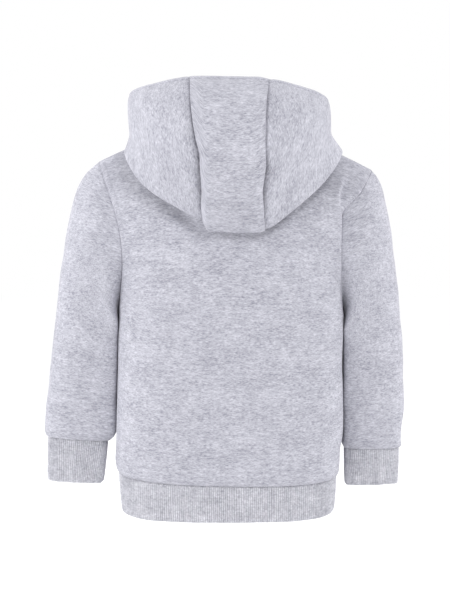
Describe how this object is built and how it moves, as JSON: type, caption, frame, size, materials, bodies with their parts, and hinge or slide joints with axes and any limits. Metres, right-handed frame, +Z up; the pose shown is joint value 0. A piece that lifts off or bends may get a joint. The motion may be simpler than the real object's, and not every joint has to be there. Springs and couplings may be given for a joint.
{
  "type": "toddler hoodie",
  "caption": "Small child's long-sleeved melange pullover hoodie, filled out and open at the face, hem and cuffs, with its hood lying down behind the neck.",
  "frame": {"origin": "middle of the neck opening, level with the shoulders beside it, where the wearer's neck and shoulders hold it up", "axes": "+Z up, from hem to neck; +Y out of the back, where the hood lies; +X to the wearer's left sleeve"},
  "size_m": [0.4097, 0.2272, 0.4813],
  "materials": {
    "fleece": "soft matt grey melange sweatshirt fleece",
    "rib": "matt grey melange 1x1 rib knit"
  },
  "bodies": {
    "root": {"front": "fleece", "back": "fleece", "sleeve_left": "fleece", "sleeve_right": "fleece", "hood_centre": "fleece", "hood_left": "fleece", "hood_right": "fleece", "cuff_left": "rib", "cuff_right": "rib", "hem_band": "rib"}
  },
  "joints": []
}
